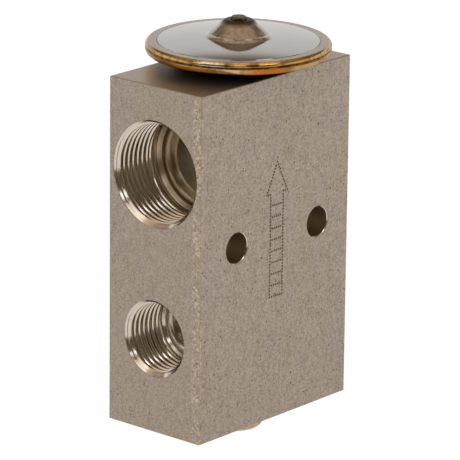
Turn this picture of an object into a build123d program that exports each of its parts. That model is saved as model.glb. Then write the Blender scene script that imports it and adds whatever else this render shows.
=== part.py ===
from build123d import *
from math import cos, pi, radians, sin, sqrt
import os

os.makedirs("parts", exist_ok=True)

# Block-type thermostatic expansion valve, in millimetres.
# Frame: X runs through the ports (the front ports open to -X), Y runs through the mounting holes,
# Z is up. The origin is under the middle of the block, level with the end of the adjusting screw.

# ---- driving dimensions -----------------------------------------------------------------------
# Block
BLOCK_DEPTH = 47.6  # along X, port face to port face
BLOCK_THICK = 25.4  # along Y
BLOCK_HEIGHT = 75.0
BLOCK_EDGE_R = 0.35
SCREW_PROUD = 4.8  # how far the adjusting screw stands out under the block
VALVE_X = 2.2  # the valve axis, from the block's middle

# Ports: thread major and minor radius, and how deep thread and bore run
PITCH_UN18 = 25.4 / 18
SUCTION_MAJOR_R = 0.875 * 25.4 / 2
LIQUID_MAJOR_R = 0.625 * 25.4 / 2
THREAD_HEIGHT = 0.54 * PITCH_UN18
PORT_CHAMFER = 0.47
PORT_THREAD_END = 13.0
PORT_FLOOR = 15.3
REAR_SUCTION_THREAD_END = 9.2
REAR_SUCTION_FLOOR = 11.2
LIQUID_THREAD_END = 11.0
LIQUID_FLOOR = 12.9
REAR_LIQUID_THREAD_END = 9.6
REAR_LIQUID_FLOOR = 11.4
PORT_CORNER_R = 1.3
SUCTION_Z = 56.2  # heights are above the block's lower face
LIQUID_IN_Z = 20.6
LIQUID_OUT_Z = 28.0
SUCTION_PASSAGE_R = 7.8
LIQUID_IN_PASSAGE_R = 2.9
LIQUID_OUT_PASSAGE_R = 2.5
PASSAGE_CHAMFER = 0.35

# Mounting holes
MOUNT_HOLE_R = 3.3
MOUNT_HOLE_CHAMFER = 0.25
MOUNT_SPACING = 26.0
MOUNT_MIDDLE_X = 0.7
MOUNT_Z = 40.4

# Bore on the valve axis
NECK_R = 9.0  # M18 x 1 head thread
NECK_DEPTH = 8.5
NECK_SEAL_RECESS = 2.0
NECK_SEAL_RECESS_WIDTH = 2.2
ROD_BORE_R = 4.0
GLAND_R = 3.3
GLAND_DEPTH = 3.2
PIN_R = 1.5
PIN_CLEARANCE = 0.03
ORIFICE_R = 1.8
SEAT_Z = 24.0
CHAMBER_R = 5.55
ADJUSTER_THREAD_R = 6.0  # M12 x 1
ADJUSTER_THREAD_DEPTH = 9.5
ADJUSTER_MOUTH_CHAMFER = 0.5

# Power head: radii step in from the rim, heights are above the block's upper face
HEAD_R = 19.55
LID_STEP = 0.2  # the upper flange's edge, in from the lower one's
SEAM_BEVEL = 0.4
DIAPHRAGM_EDGE_GAP = 0.1
CLAMP_WIDTH = 1.65
WAVE_ZONE = 4.7
HEAD_UNDERSIDE_H = 2.2
LID_TOP_H = 5.0
LID_THICK = 0.9
SEAM_H = 3.95
DIAPHRAGM_THICK = 0.16
DIAPHRAGM_DISH = 0.47
DIAPHRAGM_WAVE = 0.16
PAD_THICK = 1.0
PAD_GAP = 0.05
PAD_BOSS_R = 4.6
CONE_TIP_H = 10.1
CHARGE_PLUG_R = 1.68

# Valve parts
SENSING_ROD_R = 3.0
BALL_R = 2.5
VALVE_OPEN = 0.35  # the ball's distance below its shut position, as built
RING_SECTION_R = 0.46
SPRING_WIRE_R = 0.5
SPRING_COIL_R = 3.0
SPRING_TURNS = 7.5
SCREW_HOLLOW_R = 3.8
SCREW_FLOOR = 1.4
HEX_ACROSS_FLATS = 5.0
HEX_DEPTH = 2.6
FIT_GAP = 0.02  # clearance on each side of parts that screw or push together

# ---- dimensions worked out from those ---------------------------------------------------------
BLOCK_Z = SCREW_PROUD
TOP_Z = BLOCK_Z + BLOCK_HEIGHT
FRONT_X = -BLOCK_DEPTH / 2
REAR_X = BLOCK_DEPTH / 2
SUCTION_AXIS_Z = BLOCK_Z + SUCTION_Z
PASSAGE_FLOOR_Z = SUCTION_AXIS_Z - SUCTION_PASSAGE_R
GLAND_FLOOR_Z = PASSAGE_FLOOR_Z - GLAND_DEPTH
SEAT_EDGE_Z = BLOCK_Z + SEAT_Z
BALL_SHUT_DROP = sqrt(BALL_R**2 - ORIFICE_R**2)
BALL_Z = SEAT_EDGE_Z - BALL_SHUT_DROP - VALVE_OPEN
LID_FLANGE_R = HEAD_R - LID_STEP
DIAPHRAGM_R = LID_FLANGE_R - SEAM_BEVEL - DIAPHRAGM_EDGE_GAP
CLAMP_INNER_R = DIAPHRAGM_R - CLAMP_WIDTH
PAD_R = CLAMP_INNER_R - WAVE_ZONE
VALVE_AXIS = Axis((VALVE_X, 0, 0), (0, 0, 1))


def turning_plane(height, angle=0.0):
    """The half-plane through the valve axis at this height: local x is the radius, local y is up."""
    turn = radians(angle)
    return Plane(
        origin=(VALVE_X, 0, height),
        x_dir=(cos(turn), sin(turn), 0),
        z_dir=(sin(turn), -cos(turn), 0),
    )


def port_plane(inward, face_x, axis_z):
    """A plane through a port's axis: local x runs into the port, local y is the radius."""
    return Plane(origin=(face_x, 0, axis_z), x_dir=(inward, 0, 0), z_dir=(0, -inward, 0))


# ---- valve block ------------------------------------------------------------------------------
def cut_port(plane, major_r, thread_end, floor):
    """Cut one port: chamfered mouth, threaded bore, plain end with a rounded corner, flat floor."""
    minor_r = major_r - THREAD_HEIGHT
    with BuildSketch(plane) as port_profile:
        with BuildLine():
            Polyline(
                (0, 0),
                (0, major_r + PORT_CHAMFER),
                (PORT_CHAMFER, major_r),
                (thread_end, major_r),
                (thread_end + THREAD_HEIGHT, minor_r),
                (floor - PORT_CORNER_R, minor_r),
            )
            RadiusArc((floor - PORT_CORNER_R, minor_r), (floor, minor_r - PORT_CORNER_R), PORT_CORNER_R)
            Polyline((floor, minor_r - PORT_CORNER_R), (floor, 0), (0, 0))
        make_face()
    revolve(port_profile.sketch, axis=Axis(plane.origin, plane.x_dir), mode=Mode.SUBTRACT)


def cut_passage(plane, start, end, passage_r):
    """Cut a round passage from a port's floor, with a small chamfer at its mouth."""
    with BuildSketch(plane) as passage_profile:
        with BuildLine():
            Polyline(
                (start, 0),
                (start, passage_r + PASSAGE_CHAMFER),
                (start + PASSAGE_CHAMFER, passage_r),
                (end, passage_r),
                (end, 0),
                close=True,
            )
        make_face()
    revolve(passage_profile.sketch, axis=Axis(plane.origin, plane.x_dir), mode=Mode.SUBTRACT)


front_suction = port_plane(1, FRONT_X, SUCTION_AXIS_Z)
rear_suction = port_plane(-1, REAR_X, SUCTION_AXIS_Z)
front_liquid = port_plane(1, FRONT_X, BLOCK_Z + LIQUID_IN_Z)
rear_liquid = port_plane(-1, REAR_X, BLOCK_Z + LIQUID_OUT_Z)

with BuildPart() as valve_block:
    with BuildSketch(Plane.XY.offset(BLOCK_Z)):
        Rectangle(BLOCK_DEPTH, BLOCK_THICK)
    extrude(amount=BLOCK_HEIGHT)
    fillet(valve_block.edges(), BLOCK_EDGE_R)

    cut_port(front_suction, SUCTION_MAJOR_R, PORT_THREAD_END, PORT_FLOOR)
    cut_port(rear_suction, SUCTION_MAJOR_R, REAR_SUCTION_THREAD_END, REAR_SUCTION_FLOOR)
    cut_port(front_liquid, LIQUID_MAJOR_R, LIQUID_THREAD_END, LIQUID_FLOOR)
    cut_port(rear_liquid, LIQUID_MAJOR_R, REAR_LIQUID_THREAD_END, REAR_LIQUID_FLOOR)

    middle_x = VALVE_X - FRONT_X
    cut_passage(front_suction, PORT_FLOOR, middle_x, SUCTION_PASSAGE_R)
    cut_passage(rear_suction, REAR_SUCTION_FLOOR, BLOCK_DEPTH - middle_x, SUCTION_PASSAGE_R)
    cut_passage(front_liquid, LIQUID_FLOOR, middle_x, LIQUID_IN_PASSAGE_R)
    outlet_end = BLOCK_DEPTH - middle_x + LIQUID_OUT_PASSAGE_R
    cut_passage(rear_liquid, REAR_LIQUID_FLOOR, outlet_end, LIQUID_OUT_PASSAGE_R)

    # The stepped bore on the valve axis, from the head's thread down to the adjusting screw's
    with BuildSketch(turning_plane(0)):
        with BuildLine():
            Polyline(
                (0, TOP_Z),
                (NECK_R + NECK_SEAL_RECESS_WIDTH, TOP_Z),
                (NECK_R, TOP_Z - NECK_SEAL_RECESS),
                (NECK_R, TOP_Z - NECK_DEPTH),
                (ROD_BORE_R, TOP_Z - NECK_DEPTH),
                (ROD_BORE_R, SUCTION_AXIS_Z),
                (GLAND_R, SUCTION_AXIS_Z),
                (GLAND_R, GLAND_FLOOR_Z),
                (PIN_R + PIN_CLEARANCE, GLAND_FLOOR_Z),
                (PIN_R + PIN_CLEARANCE, BLOCK_Z + LIQUID_OUT_Z),
                (ORIFICE_R, BLOCK_Z + LIQUID_OUT_Z),
                (ORIFICE_R, SEAT_EDGE_Z),
                (CHAMBER_R, SEAT_EDGE_Z),
                (CHAMBER_R, BLOCK_Z + ADJUSTER_THREAD_DEPTH),
                (ADJUSTER_THREAD_R, BLOCK_Z + ADJUSTER_THREAD_DEPTH),
                (ADJUSTER_THREAD_R, BLOCK_Z + ADJUSTER_MOUTH_CHAMFER),
                (ADJUSTER_THREAD_R + ADJUSTER_MOUTH_CHAMFER, BLOCK_Z),
                (0, BLOCK_Z),
                close=True,
            )
        make_face()
    revolve(axis=VALVE_AXIS, mode=Mode.SUBTRACT)

    # Two mounting holes through the wide faces
    for side in (-1, 1):
        hole_x = MOUNT_MIDDLE_X + side * MOUNT_SPACING / 2
        hole_plane = Plane(
            origin=(hole_x, 0, BLOCK_Z + MOUNT_Z), x_dir=(0, 1, 0), z_dir=(0, 0, 1)
        )
        face_y = BLOCK_THICK / 2
        with BuildSketch(hole_plane):
            with BuildLine():
                Polyline(
                    (-face_y, 0),
                    (-face_y, MOUNT_HOLE_R + MOUNT_HOLE_CHAMFER),
                    (-face_y + MOUNT_HOLE_CHAMFER, MOUNT_HOLE_R),
                    (face_y - MOUNT_HOLE_CHAMFER, MOUNT_HOLE_R),
                    (face_y, MOUNT_HOLE_R + MOUNT_HOLE_CHAMFER),
                    (face_y, 0),
                    close=True,
                )
            make_face()
        revolve(axis=Axis(hole_plane.origin, hole_plane.x_dir), mode=Mode.SUBTRACT)
valve_block.part.label = "valve_block"
export_step(valve_block.part, "parts/valve_block.step")


# ---- power head -------------------------------------------------------------------------------
# Lower shell: threaded neck, shoulder on the block, cup for the pad, flange under the diaphragm
BASE_BORE_R = 5.2
BASE_NECK_LENGTH = 8.1
BASE_NECK_CHAMFER = 0.6
BASE_SEAT_MARGIN = 0.4
BASE_SHOULDER_R = NECK_R + NECK_SEAL_RECESS_WIDTH + BASE_SEAT_MARGIN
BASE_FLOOR_H = 1.1
BASE_CUP_INSET = 0.8
BASE_CUP_R = CLAMP_INNER_R - BASE_CUP_INSET
BASE_CUP_H = 3.1
BASE_RIM_WIDTH = 2.95
BASE_RIM_START_R = HEAD_R - BASE_RIM_WIDTH
BASE_RIM_RISE = 0.15
BASE_RIM_ROUND = 1.25
CLAMP_EDGE = 0.2  # how far the shells' inner corners stand in from the clamped rim
BASE_TOP_H = SEAM_H - DIAPHRAGM_THICK / 2
LID_UNDER_H = SEAM_H + DIAPHRAGM_THICK / 2

with BuildPart() as head_base:
    with BuildSketch(turning_plane(TOP_Z)):
        with BuildLine():
            neck_r = NECK_R - FIT_GAP
            Polyline(
                (HEAD_R - BASE_RIM_ROUND, HEAD_UNDERSIDE_H),
                (BASE_RIM_START_R, HEAD_UNDERSIDE_H - BASE_RIM_RISE),
                (BASE_SHOULDER_R, 0),
                (neck_r, 0),
                (neck_r, BASE_NECK_CHAMFER - BASE_NECK_LENGTH),
                (neck_r - BASE_NECK_CHAMFER, -BASE_NECK_LENGTH),
                (BASE_BORE_R, -BASE_NECK_LENGTH),
                (BASE_BORE_R, BASE_FLOOR_H),
                (BASE_SHOULDER_R, BASE_FLOOR_H),
                (BASE_CUP_R, BASE_CUP_H),
                (CLAMP_INNER_R - CLAMP_EDGE, BASE_TOP_H),
                (HEAD_R - SEAM_BEVEL, BASE_TOP_H),
                (HEAD_R, BASE_TOP_H - SEAM_BEVEL),
                (HEAD_R, HEAD_UNDERSIDE_H + BASE_RIM_ROUND),
            )
            RadiusArc(
                (HEAD_R, HEAD_UNDERSIDE_H + BASE_RIM_ROUND),
                (HEAD_R - BASE_RIM_ROUND, HEAD_UNDERSIDE_H),
                BASE_RIM_ROUND,
            )
        make_face()
    revolve(axis=VALVE_AXIS)
head_base.part.label = "head_base"
export_step(head_base.part, "parts/head_base.step")

# Upper shell: flat flange, a fine ring groove, a shallow dome and the pressed cone in its middle
LID_FLANGE_WIDTH = 2.25
LID_GROOVE_R = LID_FLANGE_R - LID_FLANGE_WIDTH
LID_GROOVE_WIDTH = 0.24
LID_GROOVE_DEPTH = 0.15
LID_EDGE_R = 0.35
DOME_STEP = 0.06  # rises are above the flange's top
DOME_RISE = 0.84
DOME_CROWN = 0.08
CONE_FOOT_R = 7.3
CONE_WALL_R = 6.2
CONE_WALL_RISE = 1.65
CONE_FOOT_SAG_R = -0.13  # the foot's hollow and the shoulder's round, off their chords
CONE_FOOT_SAG_H = -0.16
SHOULDER_R = 3.35
SHOULDER_RISE = 4.05
SHOULDER_ROUND = 0.075
NOSE_R = 2.45
NOSE_RISE = 4.5
DOME_EDGE_H = LID_TOP_H + DOME_STEP
CONE_FOOT_H = LID_TOP_H + DOME_RISE
CONE_WALL_H = LID_TOP_H + CONE_WALL_RISE
SHOULDER_H = LID_TOP_H + SHOULDER_RISE
NOSE_H = LID_TOP_H + NOSE_RISE
LID_SLOPE_IN = 0.7 * LID_THICK  # a sloping wall's inner side: about as far in as down
LID_EDGE_INSET = 0.8

with BuildPart() as head_lid:
    with BuildSketch(turning_plane(TOP_Z)):
        with BuildLine():
            groove_out = LID_GROOVE_R + LID_GROOVE_WIDTH / 2
            groove_in = LID_GROOVE_R - LID_GROOVE_WIDTH / 2
            dome_middle_r = (groove_in + CONE_FOOT_R) / 2
            dome_middle_h = (DOME_EDGE_H + CONE_FOOT_H) / 2 + DOME_CROWN
            flange_top = LID_TOP_H - LID_EDGE_R
            RadiusArc((LID_FLANGE_R, flange_top), (LID_FLANGE_R - LID_EDGE_R, LID_TOP_H), -LID_EDGE_R)
            Polyline(
                (LID_FLANGE_R - LID_EDGE_R, LID_TOP_H),
                (groove_out, LID_TOP_H),
                (LID_GROOVE_R, LID_TOP_H - LID_GROOVE_DEPTH),
                (groove_in, DOME_EDGE_H),
            )
            ThreePointArc(
                (groove_in, DOME_EDGE_H), (dome_middle_r, dome_middle_h), (CONE_FOOT_R, CONE_FOOT_H)
            )
            ThreePointArc(
                (CONE_FOOT_R, CONE_FOOT_H),
                (
                    (CONE_FOOT_R + CONE_WALL_R) / 2 + CONE_FOOT_SAG_R,
                    (CONE_FOOT_H + CONE_WALL_H) / 2 + CONE_FOOT_SAG_H,
                ),
                (CONE_WALL_R, CONE_WALL_H),
            )
            Line((CONE_WALL_R, CONE_WALL_H), (SHOULDER_R, SHOULDER_H))
            ThreePointArc(
                (SHOULDER_R, SHOULDER_H),
                (
                    (SHOULDER_R + NOSE_R) / 2 + SHOULDER_ROUND,
                    (SHOULDER_H + NOSE_H) / 2 + SHOULDER_ROUND,
                ),
                (NOSE_R, NOSE_H),
            )
            Polyline(
                (NOSE_R, NOSE_H),
                (CHARGE_PLUG_R, NOSE_H),
                (CHARGE_PLUG_R, NOSE_H - LID_THICK),
                (SHOULDER_R - LID_SLOPE_IN, SHOULDER_H - LID_SLOPE_IN),
                (CONE_WALL_R - LID_SLOPE_IN, CONE_WALL_H - LID_SLOPE_IN),
                (CONE_FOOT_R - LID_SLOPE_IN / 2, CONE_FOOT_H - LID_THICK),
                (dome_middle_r, dome_middle_h - LID_THICK),
                (CLAMP_INNER_R - LID_EDGE_INSET, LID_UNDER_H + CLAMP_EDGE),
                (CLAMP_INNER_R - CLAMP_EDGE, LID_UNDER_H),
                (LID_FLANGE_R - SEAM_BEVEL, LID_UNDER_H),
                (LID_FLANGE_R, LID_UNDER_H + SEAM_BEVEL),
                (LID_FLANGE_R, flange_top),
            )
        make_face()
    revolve(axis=VALVE_AXIS)
head_lid.part.label = "head_lid"
export_step(head_lid.part, "parts/head_lid.step")

# Diaphragm: clamped flat rim, two shallow waves, dished middle
WAVE_MARGIN = 0.4  # flat metal between the waves, the clamped rim and the pad's edge
WAVE_START_R = CLAMP_INNER_R - WAVE_MARGIN
WAVE_END_R = PAD_R + WAVE_MARGIN
WAVE_STEPS = 16


def diaphragm_height(share):
    """Height of the diaphragm's underside, from the clamped rim (0) to the flat middle (1)."""
    wave = DIAPHRAGM_WAVE * sin(4 * pi * share)
    return BASE_TOP_H - DIAPHRAGM_DISH * share - wave


with BuildPart() as diaphragm:
    with BuildSketch(turning_plane(TOP_Z)):
        with BuildLine():
            under = [(DIAPHRAGM_R, BASE_TOP_H)]
            for step in range(WAVE_STEPS + 1):
                share = step / WAVE_STEPS
                wave_r = WAVE_START_R + (WAVE_END_R - WAVE_START_R) * share
                under.append((wave_r, diaphragm_height(share)))
            under.append((0, diaphragm_height(1)))
            over = [(r, h + DIAPHRAGM_THICK) for r, h in reversed(under)]
            Polyline(*under, *over, close=True)
        make_face()
    revolve(axis=VALVE_AXIS)
diaphragm.part.label = "diaphragm"
export_step(diaphragm.part, "parts/diaphragm.step")

# Pad under the diaphragm, with a socket for the sensing rod
PAD_TOP_H = BASE_TOP_H - DIAPHRAGM_DISH - PAD_GAP
PAD_BOSS_END_H = 0.0
SOCKET_DEPTH = 2.0
PAD_EDGE_CHAMFER = 0.2

with BuildPart() as diaphragm_pad:
    with BuildSketch(turning_plane(TOP_Z)):
        with BuildLine():
            socket_r = SENSING_ROD_R + FIT_GAP
            Polyline(
                (0, PAD_TOP_H),
                (PAD_R - PAD_EDGE_CHAMFER, PAD_TOP_H),
                (PAD_R, PAD_TOP_H - PAD_EDGE_CHAMFER),
                (PAD_R, PAD_TOP_H - PAD_THICK),
                (PAD_BOSS_R, PAD_TOP_H - PAD_THICK),
                (PAD_BOSS_R, PAD_BOSS_END_H),
                (socket_r, PAD_BOSS_END_H),
                (socket_r, PAD_BOSS_END_H + SOCKET_DEPTH),
                (0, PAD_BOSS_END_H + SOCKET_DEPTH),
                close=True,
            )
        make_face()
    revolve(axis=VALVE_AXIS)
diaphragm_pad.part.label = "diaphragm_pad"
export_step(diaphragm_pad.part, "parts/diaphragm_pad.step")

# Weld around the rim, a little below the flanges' edges
WELD_SINK = 0.12

with BuildPart() as rim_weld:
    with BuildSketch(turning_plane(TOP_Z)):
        with BuildLine():
            Polyline(
                (LID_FLANGE_R - SEAM_BEVEL, LID_UNDER_H),
                (LID_FLANGE_R - WELD_SINK, LID_UNDER_H + SEAM_BEVEL - WELD_SINK),
                (LID_FLANGE_R - WELD_SINK, SEAM_H),
                (HEAD_R - WELD_SINK, BASE_TOP_H - SEAM_BEVEL + WELD_SINK),
                (HEAD_R - SEAM_BEVEL, BASE_TOP_H),
                (LID_FLANGE_R - SEAM_BEVEL, BASE_TOP_H),
                close=True,
            )
        make_face()
    revolve(axis=VALVE_AXIS)
rim_weld.part.label = "rim_weld"
export_step(rim_weld.part, "parts/rim_weld.step")

# Plug welded into the cone's nose after charging
PLUG_START_H = 7.9
PLUG_CHAMFER = 0.25

with BuildPart() as charge_plug:
    with BuildSketch(turning_plane(TOP_Z)):
        with BuildLine():
            Polyline(
                (0, PLUG_START_H),
                (CHARGE_PLUG_R - PLUG_CHAMFER, PLUG_START_H),
                (CHARGE_PLUG_R, PLUG_START_H + PLUG_CHAMFER),
                (CHARGE_PLUG_R, CONE_TIP_H - PLUG_CHAMFER),
                (CHARGE_PLUG_R - PLUG_CHAMFER, CONE_TIP_H),
                (0, CONE_TIP_H),
                close=True,
            )
        make_face()
    revolve(axis=VALVE_AXIS)
charge_plug.part.label = "charge_plug"
export_step(charge_plug.part, "parts/charge_plug.step")

# ---- seals ------------------------------------------------------------------------------------
HEAD_RING_R = 0.6


def seal_ring(middle_r, section_r, height):
    """Sketch and turn one O-ring about the valve axis."""
    with BuildSketch(turning_plane(height)) as ring_profile:
        with Locations((middle_r, 0)):
            Circle(section_r)
    revolve(ring_profile.sketch, axis=VALVE_AXIS)


with BuildPart() as head_oring:
    seal_ring(NECK_R + HEAD_RING_R, HEAD_RING_R, TOP_Z - HEAD_RING_R)
head_oring.part.label = "head_oring"
export_step(head_oring.part, "parts/head_oring.step")

ROD_RING_INNER_R = PIN_R + PIN_CLEARANCE
ROD_RING_SECTION_R = (GLAND_R - ROD_RING_INNER_R) / 2

with BuildPart() as rod_oring:
    seal_ring(
        ROD_RING_INNER_R + ROD_RING_SECTION_R, ROD_RING_SECTION_R, GLAND_FLOOR_Z + ROD_RING_SECTION_R
    )
rod_oring.part.label = "rod_oring"
export_step(rod_oring.part, "parts/rod_oring.step")

# Spring washer pushed into the gland to keep the rod's O-ring down
RETAINER_THICK = 0.5
RETAINER_INNER_R = 1.85
RETAINER_SLOT_END_R = 2.7
RETAINER_SLOT_WIDTH = 0.45
RETAINER_SLOTS = 6

with BuildPart() as oring_retainer:
    retainer_z = GLAND_FLOOR_Z + 2 * ROD_RING_SECTION_R
    with BuildSketch(Plane((VALVE_X, 0, retainer_z))):
        Circle(GLAND_R)
        Circle(RETAINER_INNER_R, mode=Mode.SUBTRACT)
        slot_length = RETAINER_SLOT_END_R - RETAINER_INNER_R + RETAINER_SLOT_WIDTH
        with PolarLocations(RETAINER_SLOT_END_R - slot_length / 2, RETAINER_SLOTS):
            Rectangle(slot_length, RETAINER_SLOT_WIDTH, mode=Mode.SUBTRACT)
    extrude(amount=RETAINER_THICK)
oring_retainer.part.label = "oring_retainer"
export_step(oring_retainer.part, "parts/oring_retainer.step")

# ---- rod, pin and ball ------------------------------------------------------------------------
# Sensing rod across the suction passage, bored at its lower end for the push pin
ROD_FOOT_CLEARANCE = 0.9
ROD_FOOT_Z = retainer_z + RETAINER_THICK + ROD_FOOT_CLEARANCE
PIN_SOCKET_DEPTH = 6.0
ROD_CHAMFER = 0.4

with BuildPart() as sensing_rod:
    rod_top_z = TOP_Z + PAD_BOSS_END_H + SOCKET_DEPTH
    with BuildSketch(turning_plane(0)):
        with BuildLine():
            Polyline(
                (PIN_R + FIT_GAP, ROD_FOOT_Z),
                (SENSING_ROD_R - ROD_CHAMFER, ROD_FOOT_Z),
                (SENSING_ROD_R, ROD_FOOT_Z + ROD_CHAMFER),
                (SENSING_ROD_R, rod_top_z - ROD_CHAMFER),
                (SENSING_ROD_R - ROD_CHAMFER, rod_top_z),
                (0, rod_top_z),
                (0, ROD_FOOT_Z + PIN_SOCKET_DEPTH),
                (PIN_R + FIT_GAP, ROD_FOOT_Z + PIN_SOCKET_DEPTH),
                close=True,
            )
        make_face()
    revolve(axis=VALVE_AXIS)
sensing_rod.part.label = "sensing_rod"
export_step(sensing_rod.part, "parts/sensing_rod.step")

PIN_TIP_R = 1.1
PIN_SHOULDER_ABOVE_OUTLET = 1.0

with BuildPart() as push_pin:
    with BuildSketch(turning_plane(0)):
        with BuildLine():
            pin_top_z = ROD_FOOT_Z + PIN_SOCKET_DEPTH
            outlet_top_z = BLOCK_Z + LIQUID_OUT_Z + LIQUID_OUT_PASSAGE_R
            Polyline(
                (0, BALL_Z + BALL_R),
                (PIN_TIP_R, BALL_Z + BALL_R),
                (PIN_TIP_R, outlet_top_z + PIN_SHOULDER_ABOVE_OUTLET),
                (PIN_R, outlet_top_z + PIN_SHOULDER_ABOVE_OUTLET + PIN_R - PIN_TIP_R),
                (PIN_R, pin_top_z),
                (0, pin_top_z),
                close=True,
            )
        make_face()
    revolve(axis=VALVE_AXIS)
push_pin.part.label = "push_pin"
export_step(push_pin.part, "parts/push_pin.step")

with BuildPart() as valve_ball:
    with Locations((VALVE_X, 0, BALL_Z)):
        Sphere(BALL_R)
valve_ball.part.label = "valve_ball"
export_step(valve_ball.part, "parts/valve_ball.step")

# Carrier: conical seat for the ball, flange on the spring, pilot inside it
CARRIER_TOP_DROP = 1.0
CARRIER_R = 3.6
CARRIER_UNDER_DROP = 4.3
CARRIER_PILOT_R = 2.25
CARRIER_PILOT_LENGTH = 2.6
CARRIER_CHAMFER = 0.3
CONE_APEX_DROP = BALL_R / sin(radians(45))  # a 90 degree cone touching the ball

with BuildPart() as ball_carrier:
    with BuildSketch(turning_plane(BALL_Z)):
        with BuildLine():
            Polyline(
                (0, -CONE_APEX_DROP),
                (CONE_APEX_DROP - CARRIER_TOP_DROP, -CARRIER_TOP_DROP),
                (CARRIER_R - CARRIER_CHAMFER, -CARRIER_TOP_DROP),
                (CARRIER_R, -CARRIER_TOP_DROP - CARRIER_CHAMFER),
                (CARRIER_R, -CARRIER_UNDER_DROP),
                (CARRIER_PILOT_R, -CARRIER_UNDER_DROP),
                (CARRIER_PILOT_R, -CARRIER_UNDER_DROP - CARRIER_PILOT_LENGTH + CARRIER_CHAMFER),
                (CARRIER_PILOT_R - CARRIER_CHAMFER, -CARRIER_UNDER_DROP - CARRIER_PILOT_LENGTH),
                (0, -CARRIER_UNDER_DROP - CARRIER_PILOT_LENGTH),
                close=True,
            )
        make_face()
    revolve(axis=VALVE_AXIS)
ball_carrier.part.label = "ball_carrier"
export_step(ball_carrier.part, "parts/ball_carrier.step")

# Damping spring: a thin ring under the carrier with three legs that bear on the chamber's wall
DAMPER_THICK = 0.25
DAMPER_LEG_ARC = 40.0
DAMPER_LEGS = 3
DAMPER_LEG_HEIGHT = 3.2
DAMPER_BEND_R = 4.7
DAMPER_TOP_R = CHAMBER_R - 0.06
DAMPER_FOOT_R = CHAMBER_R - 0.3
DAMPER_Z = BALL_Z - CARRIER_UNDER_DROP - DAMPER_THICK

with BuildPart() as damper_spring:
    with BuildSketch(Plane((VALVE_X, 0, DAMPER_Z))):
        Circle(CARRIER_R)
        Circle(CARRIER_PILOT_R + FIT_GAP, mode=Mode.SUBTRACT)
    extrude(amount=DAMPER_THICK)
    for leg in range(DAMPER_LEGS):
        with BuildSketch(turning_plane(DAMPER_Z, leg * 360 / DAMPER_LEGS)):
            with BuildLine():
                Polyline(
                    (CARRIER_R - 0.5, 0),
                    (DAMPER_BEND_R, 0),
                    (DAMPER_FOOT_R, DAMPER_THICK + 0.5),
                    (DAMPER_TOP_R, DAMPER_LEG_HEIGHT),
                    (DAMPER_TOP_R - DAMPER_THICK, DAMPER_LEG_HEIGHT),
                    (DAMPER_FOOT_R - DAMPER_THICK, DAMPER_THICK + 0.5),
                    (DAMPER_BEND_R - DAMPER_THICK / 2, DAMPER_THICK),
                    (CARRIER_R - 0.5, DAMPER_THICK),
                    close=True,
                )
            make_face()
        revolve(axis=VALVE_AXIS, revolution_arc=DAMPER_LEG_ARC)
damper_spring.part.label = "damper_spring"
export_step(damper_spring.part, "parts/damper_spring.step")

# ---- superheat spring and its adjusting screw -------------------------------------------------
SPRING_FOOT_Z = HEX_DEPTH + SCREW_FLOOR
SPRING_LENGTH = DAMPER_Z - SPRING_FOOT_Z

with BuildPart() as superheat_spring:
    with BuildLine() as spring_path:
        Helix(
            pitch=SPRING_LENGTH / SPRING_TURNS,
            height=SPRING_LENGTH,
            radius=SPRING_COIL_R,
            center=(VALVE_X, 0, SPRING_FOOT_Z),
        )
    wire_start = Plane(origin=spring_path.line @ 0, z_dir=spring_path.line % 0)
    with BuildSketch(wire_start):
        Circle(SPRING_WIRE_R)
    sweep()
    # Ground flat at both ends
    with BuildSketch(Plane((VALVE_X, 0, SPRING_FOOT_Z))):
        Circle(SCREW_HOLLOW_R)
    extrude(amount=SPRING_LENGTH, mode=Mode.INTERSECT)
superheat_spring.part.label = "superheat_spring"
export_step(superheat_spring.part, "parts/superheat_spring.step")

ADJUSTER_TRAVEL = 1.5  # either way from where the screw stands
SCREW_END_CLEARANCE = 0.5
SCREW_LIP = 1.26
GROOVE_CLEARANCE = 0.25
SCREW_SEAL_R = CHAMBER_R - 0.1
SCREW_R = ADJUSTER_THREAD_R - 0.05
SCREW_CHAMFER = 0.6
GROOVE_HALF = RING_SECTION_R + 0.08
BORE_STEP_Z = BLOCK_Z + ADJUSTER_THREAD_DEPTH
SCREW_THREAD_TOP_Z = BORE_STEP_Z - ADJUSTER_TRAVEL - SCREW_END_CLEARANCE
GROOVE_Z = BORE_STEP_Z + ADJUSTER_TRAVEL + GROOVE_HALF + GROOVE_CLEARANCE
SCREW_TOP_Z = GROOVE_Z + GROOVE_HALF + SCREW_LIP
RING_OUTER_R = CHAMBER_R - PIN_CLEARANCE
RING_MIDDLE_R = RING_OUTER_R - RING_SECTION_R
GROOVE_R = RING_MIDDLE_R - RING_SECTION_R - FIT_GAP

with BuildPart() as adjusting_screw:
    with BuildSketch(turning_plane(0)):
        with BuildLine():
            Polyline(
                (0, 0),
                (SCREW_R - SCREW_CHAMFER, 0),
                (SCREW_R, SCREW_CHAMFER),
                (SCREW_R, SCREW_THREAD_TOP_Z - SCREW_CHAMFER),
                (SCREW_SEAL_R, SCREW_THREAD_TOP_Z),
                (SCREW_SEAL_R, GROOVE_Z - GROOVE_HALF),
                (GROOVE_R, GROOVE_Z - GROOVE_HALF),
                (GROOVE_R, GROOVE_Z + GROOVE_HALF),
                (SCREW_SEAL_R, GROOVE_Z + GROOVE_HALF),
                (SCREW_SEAL_R, SCREW_TOP_Z - SCREW_CHAMFER / 2),
                (SCREW_SEAL_R - SCREW_CHAMFER / 2, SCREW_TOP_Z),
                (SCREW_HOLLOW_R, SCREW_TOP_Z),
                (SCREW_HOLLOW_R, SPRING_FOOT_Z),
                (0, SPRING_FOOT_Z),
                close=True,
            )
        make_face()
    revolve(axis=VALVE_AXIS)
    with BuildSketch(Plane((VALVE_X, 0, 0))):
        RegularPolygon(HEX_ACROSS_FLATS / 2, 6, major_radius=False)
    extrude(amount=HEX_DEPTH, mode=Mode.SUBTRACT)
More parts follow.
